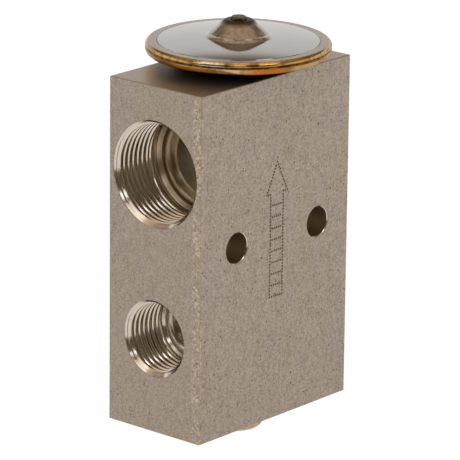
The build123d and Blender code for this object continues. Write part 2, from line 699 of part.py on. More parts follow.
adjusting_screw.part.label = "adjusting_screw"
export_step(adjusting_screw.part, "parts/adjusting_screw.step")

with BuildPart() as adjuster_oring:
    seal_ring(RING_MIDDLE_R, RING_SECTION_R, GROOVE_Z)
adjuster_oring.part.label = "adjuster_oring"
export_step(adjuster_oring.part, "parts/adjuster_oring.step")
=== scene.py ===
import math
import random

import bpy
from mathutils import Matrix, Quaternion, Vector


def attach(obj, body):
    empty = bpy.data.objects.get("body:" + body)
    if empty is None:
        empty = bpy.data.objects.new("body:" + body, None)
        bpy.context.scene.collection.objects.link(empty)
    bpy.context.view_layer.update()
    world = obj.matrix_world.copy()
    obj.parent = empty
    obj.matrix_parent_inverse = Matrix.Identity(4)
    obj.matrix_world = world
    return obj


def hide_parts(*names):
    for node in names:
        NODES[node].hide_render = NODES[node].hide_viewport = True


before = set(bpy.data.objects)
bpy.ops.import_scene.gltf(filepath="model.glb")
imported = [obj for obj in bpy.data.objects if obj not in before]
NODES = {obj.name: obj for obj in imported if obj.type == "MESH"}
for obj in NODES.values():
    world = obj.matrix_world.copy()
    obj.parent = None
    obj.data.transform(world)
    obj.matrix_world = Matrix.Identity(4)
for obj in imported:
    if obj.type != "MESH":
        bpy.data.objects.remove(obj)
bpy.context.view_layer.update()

MM = 0.001
TURN = 2 * math.pi

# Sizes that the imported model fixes, in millimetres in the row frame.
BLOCK_LOW = Vector((-23.8, -12.7, 4.8))
BLOCK_HIGH = Vector((23.8, 12.7, 79.8))
VALVE_X = 2.2  # the upright axis of head, rod and screw, at y = 0
PITCH = 25.4 / 18
SUCTION_R, LIQUID_R = 11.1125, 7.9375
SUCTION_Z, LIQUID_IN_Z, LIQUID_OUT_Z = 61.0, 25.4, 32.8
MOUNT_Z, MOUNT_R = 45.2, 3.3
HEAD_R = 19.55
SEAM_Z, LID_Z = 83.75, 84.8
RING_R = 17.1  # the groove between the lid's polished middle and its flange
LID_R, LID_EDGE_R = 19.35, 0.35


# ---------------------------------------------------------------- materials


class Paint:
    """One procedural material: a principled shader and the nodes that feed it. Lengths are in millimetres."""

    def __init__(self, name):
        self.material = bpy.data.materials.new(name)
        self.material.use_nodes = True
        self.tree = self.material.node_tree
        self.shader = self.tree.nodes["Principled BSDF"]
        coordinates = self.tree.nodes.new("ShaderNodeTexCoord")
        self.place = self.scaled(coordinates.outputs["Object"], (1 / MM,) * 3)
        split = self.node("ShaderNodeSeparateXYZ", (self.place,))
        self.x, self.y, self.z = split.outputs

    def node(self, kind, inputs=(), **settings):
        made = self.tree.nodes.new(kind)
        for key, value in settings.items():
            setattr(made, key, value)
        for socket, value in zip(made.inputs, inputs):
            self.feed(socket, value)
        return made

    def feed(self, socket, value):
        """Links a node's output to the socket, or sets the socket to a number."""
        if isinstance(value, bpy.types.NodeSocket):
            self.tree.links.new(value, socket)
        elif value is not None:
            socket.default_value = value

    def feed_named(self, made, **values):
        for name, value in values.items():
            self.feed(made.inputs[name.replace("_", " ")], value)

    def math(self, operation, a, b=0.0):
        return self.node("ShaderNodeMath", (a, b), operation=operation).outputs[0]

    def plus(self, a, b):
        return self.math("ADD", a, b)

    def minus(self, a, b):
        return self.math("SUBTRACT", a, b)

    def times(self, first, *others):
        for other in others:
            first = self.math("MULTIPLY", first, other)
        return first

    def largest(self, first, *others):
        for other in others:
            first = self.math("MAXIMUM", first, other)
        return first

    def apart(self, a, b):
        """How far a is from b."""
        return self.math("ABSOLUTE", self.minus(a, b))

    def scaled(self, vector, factors):
        return self.node("ShaderNodeVectorMath", (vector, factors), operation="MULTIPLY").outputs[0]

    def noise(self, scale, stretch=None, detail=3.0, offset=0.0):
        """Smooth noise, about 0 to 1, with features of 1/scale millimetres."""
        place = self.place if stretch is None else self.scaled(self.place, stretch)
        if offset:
            place = self.node("ShaderNodeVectorMath", (place, (offset,) * 3), operation="ADD").outputs[0]
        made = self.node("ShaderNodeTexNoise")
        self.feed_named(made, Vector=place, Scale=scale, Detail=detail)
        return made.outputs["Fac"]

    def ramp(self, value, low, high, start=0.0, end=1.0):
        """value from low to high, mapped smoothly to start to end."""
        made = self.node("ShaderNodeMapRange", interpolation_type="SMOOTHSTEP")
        self.feed_named(made, Value=value, From_Min=low, From_Max=high, To_Min=start, To_Max=end)
        return made.outputs[0]

    def mix(self, share, a, b):
        """Colour a where share is 0, b where it is 1."""
        made = self.node("ShaderNodeMix", data_type="RGBA")
        for socket, value in ((made.inputs[0], share), (made.inputs[6], a), (made.inputs[7], b)):
            self.feed(socket, value)
        return made.outputs[2]

    def blend(self, share, a, b):
        """Number a where share is 0, b where it is 1."""
        made = self.node("ShaderNodeMix", data_type="FLOAT")
        for socket, value in ((made.inputs[0], share), (made.inputs[2], a), (made.inputs[3], b)):
            self.feed(socket, value)
        return made.outputs[0]

    def spots(self, scale, size, share):
        """1 in small round spots: size is their radius in cells, share the part of cells that has one."""
        made = self.node("ShaderNodeTexVoronoi")
        self.feed_named(made, Vector=self.place, Scale=scale)
        near = self.ramp(made.outputs["Distance"], size, size * SPOT_CORE)
        lot = self.node("ShaderNodeSeparateColor", (made.outputs["Color"],)).outputs[0]
        return self.times(near, self.ramp(lot, share, share * LOT_CORE))

    def axis_distance(self):
        """Distance from the valve's upright axis."""
        dx, dy = self.minus(self.x, VALVE_X), self.minus(self.y, 0.0)
        squares = [self.math("POWER", side, 2.0) for side in (dx, dy)]
        return self.math("SQRT", self.plus(*squares))

    def bump(self, height, strength, distance):
        made = self.node("ShaderNodeBump")
        self.feed_named(made, Strength=strength, Distance=distance * MM, Height=height)
        self.feed(self.shader.inputs["Normal"], made.outputs[0])

    def finish(self, color, roughness, metallic):
        for name, value in (("Base Color", color), ("Roughness", roughness), ("Metallic", metallic)):
            self.feed(self.shader.inputs[name], value)
        return self.material


SPOT_CORE, LOT_CORE = 0.45, 0.8  # the shares of a spot, and of the draw for one, at full strength


def rgb(red, green, blue):
    """A colour in 0 to 255 as seen, as the linear colour that nodes take."""
    values = []
    for level in (red, green, blue):
        share = level / 255
        values.append(share / 12.92 if share <= 0.04045 else ((share + 0.055) / 1.055) ** 2.4)
    return (*values, 1.0)


def dress(name, material):
    """Gives a node or a piece its material."""
    data = NODES[name].data if isinstance(name, str) else name.data
    data.materials.clear()
    data.materials.append(material)


# Where the block's paint changes. Pairs are the two ends of a smooth change.
SKIN_DEPTH, SKIN_FADE = 0.09, 0.02  # the outside colour reaches this deep into the metal
TOP_FACE = (70.0, 72.0)  # height above which a level face is the sawn top
HOLE_LEVEL = (MOUNT_R + 0.6, MOUNT_R + 0.4)  # height from the mounting holes' axes
HOLE_INSIDE, PORT_INSIDE = (12.5, 12.4), (12.3, 12.2)  # distance out from the middle along Y
PORT_DEEP = (12.0, 10.0)  # distance out from the middle along X
# Where the chatter and wear at the corners lie, out from the middle along each axis.
CHATTER_Y, CHATTER_X, CHATTER_SIDE = (12.1, 12.35), (23.15, 23.45), (-10.0, -11.0)
WORN_Y, WORN_X = (12.4, 12.6), (23.45, 23.65)
FOOT = (BLOCK_LOW.z + 0.3, BLOCK_LOW.z + 0.1)


def block_masks(paint):
    """How far a point is out from the block's middle along each axis, and 1 on the faces there."""
    outs, faces = [], []
    for axis, low, high in zip((paint.x, paint.y, paint.z), BLOCK_LOW, BLOCK_HIGH):
        half = (high - low) / 2
        outs.append(paint.apart(axis, (low + high) / 2))
        faces.append(paint.ramp(outs[-1], half - SKIN_DEPTH - SKIN_FADE, half - SKIN_DEPTH))
    return outs, faces


def block_paint():
    """Extruded and sawn aluminium outside, turned metal in the ports and holes, rougher deep inside, with a
    darker colour there that is painted shade.
    """
    paint = Paint("block_metal")
    outs, faces = block_masks(paint)
    skin = paint.largest(*faces)
    top = paint.times(faces[2], paint.ramp(paint.z, *TOP_FACE))
    cloud = paint.ramp(paint.noise(1.0, (1, 1, 0.6), 5.0), 0.3, 0.7)
    fine = paint.ramp(paint.noise(2.9, None, 5.0, 7.0), 0.38, 0.66)
    large_pits = paint.times(paint.spots(0.40, 0.12, 0.5), 0.95)
    small_pits = paint.times(paint.spots(1.1, 0.26, 0.5), 0.72)
    pits = paint.largest(large_pits, small_pits)

    color = corner_marks(paint, face_color(paint, cloud, fine), outs, faces[0])
    color = paint.mix(pits, color, rgb(92, 80, 66))
    sawn = paint.mix(paint.times(fine, 0.3), rgb(174, 161, 147), rgb(198, 186, 171))
    color = paint.mix(top, color, sawn)
    in_hole, deep = bore_masks(paint, outs)
    color = paint.mix(skin, bore_color(paint, in_hole, deep), color)

    outer_rough = paint.blend(top, paint.blend(cloud, 0.5, 0.6), 0.4)
    bore_rough = paint.blend(deep, 0.16, paint.blend(in_hole, 0.34, 0.42))
    rough = paint.blend(skin, bore_rough, outer_rough)
    metallic = paint.blend(skin, 1.0, paint.blend(top, 0.55, 0.92))
    outer_height = paint.minus(paint.plus(cloud, fine), paint.times(pits, 3.0))
    tool_lines = paint.times(paint.noise(6.0, (1, 0.02, 0.02), 2.0), 0.5)
    height = paint.blend(skin, tool_lines, outer_height)
    paint.bump(height, paint.blend(top, 0.4, 0.15), 0.03)
    return paint.finish(color, rough, metallic)


def face_color(paint, cloud, fine):
    """The outer faces: two close greys, darker clouds, upright extrusion grain and a light speckle."""
    cool, warm = rgb(181, 171, 163), rgb(182, 170, 153)
    color = paint.mix(paint.ramp(paint.noise(0.2, (1, 1, 0.5)), 0.35, 0.65), cool, warm)
    color = paint.mix(paint.times(cloud, 0.34), color, rgb(150, 138, 122))
    grain = paint.ramp(paint.noise(1.5, (1, 1, 0.07), 3.0, 3.0), 0.3, 0.7)
    color = paint.mix(paint.times(grain, 0.22), color, rgb(146, 134, 119))
    return paint.mix(paint.times(fine, 0.54), color, rgb(220, 209, 195))


def bore_masks(paint, outs):
    """1 in the mounting holes, and 1 there and in the block's middle, where the ports run deep."""
    level = paint.ramp(paint.apart(paint.z, MOUNT_Z), *HOLE_LEVEL)
    in_hole = paint.times(level, paint.ramp(outs[1], *HOLE_INSIDE))
    middle = paint.times(paint.ramp(outs[0], *PORT_DEEP), paint.ramp(outs[1], *PORT_INSIDE))
    return in_hole, paint.largest(in_hole, middle)


def bore_color(paint, in_hole, deep):
    turned = paint.mix(paint.noise(0.5), rgb(222, 216, 208), rgb(236, 231, 224))
    # Painted shade: the darker, warmer colour deep in the passage and in the mounting holes stands for the
    # shade in these recesses.
    shaded_deep = paint.mix(paint.noise(0.9), rgb(168, 154, 128), rgb(190, 174, 146))
    shaded_deep = paint.mix(in_hole, shaded_deep, rgb(204, 190, 166))
    return paint.mix(deep, turned, shaded_deep)


def corner_marks(paint, color, outs, on_ends):
    """Tan and dark chatter marks along the upright edges at low Y, thin worn lines on the edges and foot."""
    on_end = paint.times(paint.ramp(outs[1], *CHATTER_Y), on_ends)
    on_side = paint.ramp(outs[0], *CHATTER_X)
    band = paint.times(paint.largest(on_end, on_side), paint.ramp(paint.y, *CHATTER_SIDE))
    patchy = paint.ramp(paint.noise(0.35, (1, 1, 1), 2.0, 17.0), 0.38, 0.56, 0.25, 1.0)
    band = paint.times(band, patchy)
    marks = paint.ramp(paint.noise(1.9, None, 3.0, 13.0), 0.5, 0.58)
    color = paint.mix(paint.times(band, marks, 0.75), color, rgb(236, 222, 202))
    flecks = paint.ramp(paint.noise(1.5, None, 3.0, 23.0), 0.58, 0.66)
    color = paint.mix(paint.times(band, flecks, 0.6), color, rgb(96, 82, 66))
    worn = paint.times(paint.ramp(outs[1], *WORN_Y), paint.ramp(outs[0], *WORN_X), 0.5)
    worn_tone = paint.mix(paint.ramp(paint.y, -5.0, 5.0), rgb(206, 184, 156), rgb(128, 112, 94))
    color = paint.mix(worn, color, worn_tone)
    foot = paint.times(paint.ramp(paint.z, *FOOT), 0.6)
    return paint.mix(foot, color, rgb(198, 166, 134))


def thread_paint():
    """Cut thread: bright metal, tinted warm as a painted reflection of the brown room, with fine tool lines
    along the helix.
    """
    paint = Paint("thread_metal")
    # Painted reflection: the warm tint stands for the brown room seen in the thread over several bounces.
    color = paint.mix(paint.noise(0.6), rgb(224, 215, 202), rgb(240, 233, 222))
    lines = paint.noise(7.0, (1, 0.03, 0.03), 2.0)
    paint.bump(lines, 0.2, 0.02)
    return paint.finish(color, paint.ramp(lines, 0.3, 0.7, 0.14, 0.22), 1.0)


def dot_paint():
    """Punched metal, with painted shade darkening the craters' bottoms."""
    paint = Paint("punched_metal")
    depth = paint.ramp(paint.y, BLOCK_LOW.y - 0.028, BLOCK_LOW.y - 0.008)
    # Painted shade: the dark brown in the craters' bottoms stands for the shade in the dots.
    crater_shade = paint.mix(paint.noise(2.0), rgb(46, 36, 28), rgb(74, 60, 48))
    color = paint.mix(depth, rgb(150, 136, 120), crater_shade)
    return paint.finish(color, paint.blend(depth, 0.4, 0.6), 0.7)


# Patches round the head's rim: middle and half width in degrees, colour, strength. On the upper rim the
# near-white patch at -153 degrees is a painted highlight, and the bright gold ones at -134.5, -116 and -96 are
# heat tint brightened as painted highlights; the rest are heat tint.
UPPER_TINT_AND_HIGHLIGHTS = (
    (-153.0, 10.0, rgb(250, 242, 220), 0.95),
    (-134.5, 7.0, rgb(242, 204, 126), 0.95),
    (-116.0, 8.5, rgb(242, 200, 116), 0.95),
    (-96.0, 5.0, rgb(206, 150, 66), 0.7),
    (60.0, 25.0, rgb(216, 150, 62), 0.7),
    (115.0, 16.0, rgb(226, 206, 170), 0.8),
)
LOWER_PATCHES = (
    (-172.0, 20.0, rgb(214, 170, 96), 0.8),
    (-142.0, 9.0, rgb(226, 208, 176), 0.85),
    (-118.0, 15.0, rgb(214, 118, 22), 0.8),
    (-89.0, 14.0, rgb(208, 176, 122), 0.7),
    (70.0, 22.0, rgb(204, 116, 34), 0.6),
)


def tint_and_highlight_color(paint, shift, patches):
    """Oxide colours of a welded rim: straw, gold, brown and orange, in uneven patches round it, together with
    any painted highlights that the patch table holds.
    """
    patchy = paint.noise(0.16, (1, 1, 0.3), 3.0, 11.0 + shift)
    fine = paint.noise(1.1, (1, 1, 0.6), 4.0, 5.0 + shift)
    value = paint.plus(paint.times(patchy, 0.6), paint.times(fine, 0.4))
    gold, brown = rgb(198, 160, 98), rgb(158, 120, 66)
    color = paint.mix(paint.ramp(value, 0.42, 0.58), gold, brown)
    angle = paint.math("ARCTAN2", paint.y, paint.minus(paint.x, VALVE_X))
    around = paint.plus(angle, paint.times(fine, 0.12))
    for middle, half, tone, share in patches:
        near = paint.apart(around, math.radians(middle))
        patch = paint.ramp(near, math.radians(half), math.radians(half * 0.6))
        mottled = paint.ramp(fine, 0.35, 0.6, share * 0.55, share)
        color = paint.mix(paint.times(patch, mottled), color, tone)
    return color


# Zones of the head's paint, by radius: the two ends of a smooth change.
FLANGE, LID_EDGE = (RING_R - 0.05, RING_R + 0.05), (HEAD_R - 0.75, HEAD_R - 0.35)
CONE, NOSE = (7.2, 6.6), (4.3, 3.0)
BASE_RIM = (HEAD_R - 3.2, HEAD_R - 1.2)


def lid_paint():
    """Polished pressing with a matte flange outside its ring groove, and a heat-tinted rim with painted
    highlights on its upper edge toward the camera.
    """
    paint = Paint("lid_metal")
    radius = paint.axis_distance()
    flange, edge = paint.ramp(radius, *FLANGE), paint.ramp(radius, *LID_EDGE)
    cone, nose = paint.ramp(radius, *CONE), paint.ramp(radius, *NOSE)
    streaks = paint.ramp(paint.noise(0.9, (1, 1, 0.5), 3.0, 4.0), 0.35, 0.65)

    polished = paint.mix(paint.noise(0.15), rgb(154, 149, 143), rgb(163, 158, 153))
    drawn = paint.mix(streaks, rgb(152, 143, 131), rgb(178, 170, 158))
    polished = paint.mix(nose, paint.mix(cone, polished, drawn), rgb(78, 62, 44))
    matte = paint.mix(paint.noise(3.0, None, 4.0), rgb(156, 145, 129), rgb(186, 175, 160))
    # The rim's colour includes painted highlights from the upper patch table.
    color = paint.mix(edge, paint.mix(flange, polished, matte), tint_and_highlight_color(paint, 0.0, UPPER_TINT_AND_HIGHLIGHTS))

    specks = paint.ramp(paint.noise(2.2, None, 5.0, 3.0), 0.3, 0.7)
    cone_rough = paint.blend(nose, paint.blend(streaks, 0.2, 0.3), 0.5)
    rough = paint.blend(flange, paint.blend(cone, 0.1, cone_rough), paint.blend(specks, 0.28, 0.42))
    rough = paint.blend(edge, rough, 0.14)
    strength = paint.blend(flange, paint.blend(cone, 0.02, 0.25), 0.2)
    paint.bump(paint.noise(1.6, None, 3.0), strength, 0.02)
    return paint.finish(color, rough, 1.0)


def base_paint():
    """Formed lower shell: heat tint at its rim, and under it a dark brown that is painted shade beneath the
    head.
    """
    paint = Paint("base_metal")
    rim = paint.ramp(paint.axis_distance(), *BASE_RIM)
    # Painted shade: this dark brown stands for the shade under the head, which the block's top then reflects.
    plain = paint.mix(paint.noise(0.4), rgb(66, 56, 44), rgb(84, 74, 60))
    color = paint.mix(rim, plain, tint_and_highlight_color(paint, 2.0, LOWER_PATCHES))
    paint.bump(paint.noise(1.4, None, 3.0), 0.1, 0.02)
    return paint.finish(color, paint.blend(rim, 0.35, 0.2), 1.0)


def weld_paint():
    """Dark fused metal with a coarse surface."""
    paint = Paint("weld_metal")
    color = paint.mix(paint.ramp(paint.noise(0.9), 0.4, 0.6), rgb(70, 52, 34), rgb(132, 98, 56))
    paint.bump(paint.noise(2.5, None, 3.0), 0.5, 0.05)
    return paint.finish(color, 0.4, 1.0)


def steel_paint(name, light, dark, rough, scale=0.8):
    """Plain metal with a slight cloudiness and fine wear."""
    paint = Paint(name)
    cloud = paint.ramp(paint.noise(scale, None, 4.0), 0.35, 0.65)
    scratch = paint.noise(5.0, (1, 1, 0.15), 3.0)
    color = paint.mix(cloud, dark, light)
    paint.bump(scratch, 0.15, 0.02)
    return paint.finish(color, paint.ramp(scratch, 0.3, 0.7, rough * 0.8, rough * 1.3), 1.0)


def rubber_paint():
    """Black rubber of the seals."""
    paint = Paint("seal_rubber_soft")
    color = paint.mix(paint.noise(1.5), rgb(20, 20, 21), rgb(38, 38, 40))
    paint.bump(paint.noise(6.0), 0.2, 0.02)
    return paint.finish(color, paint.ramp(paint.noise(3.0), 0.3, 0.7, 0.45, 0.65), 0.0)


def dress_nodes():
    """Materials of the model's own nodes, but for the lid and the screw, which pieces below replace."""
    steel = steel_paint("plain_steel", rgb(186, 180, 172), rgb(158, 151, 142), 0.25)
    spring = steel_paint("spring_steel_dark", rgb(170, 164, 156), rgb(120, 114, 106), 0.28)
    rubber = rubber_paint()
    dress("valve_block", block_paint())
    dress("head_base", base_paint())
    dress("rim_weld", weld_paint())
    dress("charge_plug", steel_paint("plug_dark", rgb(120, 106, 86), rgb(62, 52, 40), 0.45, 1.6))
    dress("valve_ball", steel_paint("ball_polish", rgb(214, 212, 208), rgb(196, 193, 188), 0.08))
    dress("sensing_rod", steel_paint("rod_alloy", rgb(204, 200, 193), rgb(178, 172, 164), 0.3))
    for name in ("diaphragm", "damper_spring", "superheat_spring"):
        dress(name, spring)
    for name in ("diaphragm_pad", "push_pin", "ball_carrier", "oring_retainer"):
        dress(name, steel)
    for name in ("head_oring", "rod_oring", "adjuster_oring"):
        dress(name, rubber)


# ------------------------------------------------------------------- meshes


def add_object(name, data):
    made = bpy.data.objects.new(name, data)
    bpy.context.scene.collection.objects.link(made)
    return made


def mesh_piece(name, points, faces, sharp_degrees=40):
    """A smooth-shaded mesh piece from points in millimetres."""
    mesh = bpy.data.meshes.new(name)
    mesh.from_pydata([[value * MM for value in point] for point in points], [], faces)
    mesh.validate()
    mesh.shade_smooth()
    mesh.set_sharp_from_angle(angle=math.radians(sharp_degrees))
    return add_object(name, mesh)


def ring_faces(rings, size):
    """Quads between closed rings of points, each ring holding size points."""
    faces = []
    for ring in range(rings - 1):
        for k in range(size):
            a, b = ring * size + k, ring * size + (k + 1) % size
            faces.append((a, b, b + size, a + size))
    return faces


# The port threads' ridge: its half widths are in pitches.
RIDGE_SAMPLES, RIDGE_STEPS = 15, 96  # points across the ridge, and sections in a turn
RIDGE_ROOT_HALF, RIDGE_CREST_HALF = 0.4375, 0.19
RIDGE_HEIGHT = 0.43 * PITCH
CREST_ROUND = 0.15  # the share of the height that rounds off into the crest
MOUTH_CHAMFER = 0.47
FIRST_GROOVE = 0.55  # depth of the first groove at the bore's left side, seen from outside
RUN_OUT = 1.8  # turns over which the ridge dies away at its inner end
SUNK = 0.04  # how far hidden edges lie inside the block's metal


def ridge_rise(along):
    """The ridge's height, as a share of its full height, at a place in pitches from its middle."""
    flank = (RIDGE_ROOT_HALF - abs(along)) / (RIDGE_ROOT_HALF - RIDGE_CREST_HALF)
    straight = 1 - CREST_ROUND
    if flank < straight:
        return min(1.0, flank)
    share = min(1.0, (flank - straight) / (2 * CREST_ROUND))
    return straight + CREST_ROUND * math.sin(share * math.pi / 2)


def ridge_section(middle, fade, radius):
    """Depth and radius of each point across the ridge, cut back by the 45 degree cone at the mouth."""
    section = []
    for sample in range(RIDGE_SAMPLES):
        along = (2 * sample / (RIDGE_SAMPLES - 1) - 1) * RIDGE_ROOT_HALF
        root = SUNK if sample in (0, RIDGE_SAMPLES - 1) else 0
        rise = ridge_rise(along) * fade * RIDGE_HEIGHT - root
        depth = middle + along * PITCH
        cone = radius + MOUTH_CHAMFER - depth
        out = max(radius - rise, cone)
        if depth < MOUTH_CHAMFER:
            out = cone + SUNK
        if depth < SUNK:
            depth, out = SUNK, radius + MOUTH_CHAMFER + SUNK / 2
        section.append((depth, out))
    return section


def port_thread(name, x_face, inward, height, radius, end):
    """The thread in a port: a helical ridge on the bore's wall, from the mouth to the depth end."""
    first_turn = -math.ceil(FIRST_GROOVE / PITCH) - 1
    turns = (end - FIRST_GROOVE) / PITCH - 0.5 - first_turn
    count = round(turns * RIDGE_STEPS)
    points = []
    for step in range(count + 1):
        turn = step / RIDGE_STEPS
        fade = min(1.0, (turns - turn) / RUN_OUT)
        angle = TURN * turn
        middle = FIRST_GROOVE + (first_turn + 0.5 + turn) * PITCH
        for depth, out in ridge_section(middle, fade, radius):
            y, z = inward * out * math.cos(angle), height + out * math.sin(angle)
            points.append((x_face + inward * depth, y, z))
    piece = mesh_piece(name, points, ring_faces(count + 1, RIDGE_SAMPLES), 35)
    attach(piece, "valve_body")
    return piece


def port_threads():
    paint = thread_paint()
    front, rear = BLOCK_LOW.x, BLOCK_HIGH.x
    for name, x_face, inward, height, radius, end in (
        ("suction_outlet_thread", front, 1, SUCTION_Z, SUCTION_R, 12.6),
        ("liquid_inlet_thread", front, 1, LIQUID_IN_Z, LIQUID_R, 12.0),
        ("suction_inlet_thread", rear, -1, SUCTION_Z, SUCTION_R, 9.2),
        ("liquid_outlet_thread", rear, -1, LIQUID_OUT_Z, LIQUID_R, 9.4),
    ):
        dress(port_thread(name, x_face, inward, height, radius, end), paint)


RIM_ROUND = 0.85  # the round that welding leaves at the lid's edge
RIM_INSET = 0.03  # how far that round stays inside the head's radius
RIM_FOOT_DEGREES = -5  # where the round ends, below its outermost point
SEAM_BAND = 0.3  # the height above the seam that stays as modelled
TOUCH = 0.001
DOWNWARD = -0.3  # a face whose normal's z is at most this is the lid's underside


def round_rim(mesh):
    """Moves the rim's points onto the fuller round. Gives the new normal of each moved point."""
    corner_r, corner_z = LID_R - LID_EDGE_R, LID_Z - LID_EDGE_R
    moved = {}
    for vert in mesh.vertices:
        x, y, z = vert.co.x / MM - VALVE_X, vert.co.y / MM, vert.co.z / MM
        radius = math.hypot(x, y)
        if radius < corner_r - TOUCH or z < SEAM_Z + SEAM_BAND:
            continue
        angle = math.radians(RIM_FOOT_DEGREES)
        if z > corner_z - TOUCH:
            angle = math.atan2(z - corner_z, radius - corner_r)
        new_r = HEAD_R - RIM_INSET - RIM_ROUND * (1 - math.cos(angle))
        new_z = LID_Z - RIM_ROUND * (1 - math.sin(angle))
        vert.co = Vector((VALVE_X + x * new_r / radius, y * new_r / radius, new_z)) * MM
        across = math.cos(angle) / radius
        moved[vert.index] = Vector((x * across, y * across, math.sin(angle))).normalized()
    return moved


def lid_pressing():
    """The lid with its welded rim's fuller round. The rest is the modelled lid's own surface."""
    mesh = NODES["head_lid"].data.copy()
    mesh.name = "lid_pressing"
    normals = [corner.vector.copy() for corner in mesh.corner_normals]
    moved = round_rim(mesh)
    for loop in mesh.loops:
        if loop.vertex_index in moved and normals[loop.index].z > DOWNWARD:
            normals[loop.index] = moved[loop.vertex_index]
    mesh.normals_split_custom_set(normals)
    piece = add_object("lid_pressing", mesh)
    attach(piece, "valve_body")
    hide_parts("head_lid")
    dress(piece, lid_paint())


SCREW_CREST, SCREW_ROOT, SCREW_PITCH = 5.95, 5.35, 1.0
SCREW_THREAD_END, SCREW_LEAD_OUT = 11.7, 0.2
FLAT_HALF, FLANK_WIDTH = 0.06, 0.3  # of the screw's thread, in pitches
SCREW_STEPS, SCREW_ROWS = 72, 10  # points in a ring, and rings in a pitch
SOCKET_DEPTH, SOCKET_HALF = 2.6, 2.5
# Radius and height of the seal groove, the spring's cup and its bottom, above the thread.
SCREW_UPPER = (
    (5.45, 12.3), (5.45, 16.05), (4.58, 16.05), (4.58, 17.13), (5.45, 17.13),
    (5.45, 18.09), (5.15, 18.39), (3.8, 18.39), (3.8, 4.0),
)


def hexagon_radius(turn):
    """The socket's radius at a part of a turn."""
    return SOCKET_HALF / math.cos((TURN * turn) % (math.pi / 3) - math.pi / 6)


def screw_radius(z, turn):
    """The thread's radius at a height and a part of a turn: a 60 degree form, chamfered at both ends."""
    phase = (z / SCREW_PITCH - turn) % 1.0
    flank = min(1.0, max(0.0, (0.5 - abs(phase - 0.5) - FLAT_HALF) / FLANK_WIDTH))
    radius = SCREW_ROOT + (SCREW_CREST - SCREW_ROOT) * flank
    to_end = max(0.0, SCREW_THREAD_END + SCREW_LEAD_OUT - z)
    return min(radius, SCREW_ROOT + z, SCREW_ROOT + to_end)


def threaded_screw():
    """The adjusting screw with its real thread, its hexagon socket below and its seal groove above."""
    turns = [k / SCREW_STEPS for k in range(SCREW_STEPS)]
    rings = [[(hexagon_radius(turn), z) for turn in turns] for z in (SOCKET_DEPTH, 0.0)]
    rows = round((SCREW_THREAD_END + SCREW_LEAD_OUT) / SCREW_PITCH * SCREW_ROWS)
    for row in range(rows + 1):
        z = row * SCREW_PITCH / SCREW_ROWS
        rings.append([(screw_radius(z, turn), z) for turn in turns])
    rings += [[point] * SCREW_STEPS for point in SCREW_UPPER]
    points = []
    for ring in rings:
        for turn, (radius, z) in zip(turns, ring):
            angle = TURN * turn
            points.append((VALVE_X + radius * math.cos(angle), radius * math.sin(angle), z))
    last = (len(rings) - 1) * SCREW_STEPS
    faces = ring_faces(len(rings), SCREW_STEPS)
    faces.append(tuple(range(SCREW_STEPS))[::-1])
    faces.append(tuple(range(last, last + SCREW_STEPS)))
    piece = mesh_piece("threaded_screw", points, faces, 40)
    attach(piece, "adjuster")
    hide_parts("adjusting_screw")
    dress(piece, steel_paint("adjuster_brass", rgb(248, 236, 218), rgb(232, 214, 190), 0.34))


# The punched arrow on the wide face at low Y: x and z of its outline's corners. Rungs cross its shaft.
ARROW = (
    (-1.7, 32.0), (-1.7, 54.5), (-3.0, 54.5), (0.3, 61.2), (3.6, 54.5), (2.3, 54.5), (2.3, 32.0), (-1.7, 32.0),
)
RUNG_STEP = 2.5
DOT_STEP, DOT_R, DOT_WOBBLE, DOT_SIDES = 0.66, 0.23, 0.05, 12
LIP = 0.03  # how far a dot's lip stands out of the face
# A dot's rings, from the outside in: radius, and y from the face, where negative stands out of the block.
DOT_RINGS = ((DOT_R * 1.25, 0.01), (DOT_R, -LIP), (DOT_R * 0.6, -LIP * 0.5), (DOT_R * 0.2, -LIP * 0.2))


def arrow_places():
    """Where the arrow's dots are, with a little unevenness."""
    random.seed(7)
    (left, low), (_, high) = ARROW[:2]
    right = ARROW[5][0]
    strokes = list(zip(ARROW, ARROW[1:]))
    for rung in range(1, int((high - low) / RUNG_STEP)):
        z = low + rung * RUNG_STEP
        strokes.append(((left + DOT_STEP, z), (right, z)))
    places = []
    for (x0, z0), (x1, z1) in strokes:
        length = math.hypot(x1 - x0, z1 - z0)
        for k in range(round(length / DOT_STEP)):
            share = k * DOT_STEP / length
            wobble = random.uniform(-DOT_WOBBLE, DOT_WOBBLE)
            places.append((x0 + (x1 - x0) * share + wobble, z0 + (z1 - z0) * share + wobble))
    return places


def punched_arrow():
    """A plain arrow as a row of punched dots, each a small crater with a raised lip."""
    points, faces = [], []
    for x, z in arrow_places():
        start = len(points)
        for radius, out in DOT_RINGS:
            for k in range(DOT_SIDES):
                angle = TURN * k / DOT_SIDES
                points.append((x + radius * math.cos(angle), BLOCK_LOW.y + out, z + radius * math.sin(angle)))
        faces += [tuple(start + corner for corner in face) for face in ring_faces(len(DOT_RINGS), DOT_SIDES)]
        faces.append(tuple(range(len(points) - DOT_SIDES, len(points))))
    piece = mesh_piece("punched_arrow", points, faces, 60)
    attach(piece, "valve_body")
    dress(piece, dot_paint())


# --------------------------------------------------------- light and camera


LIT_POINT = Vector((0, 0, 0.05))
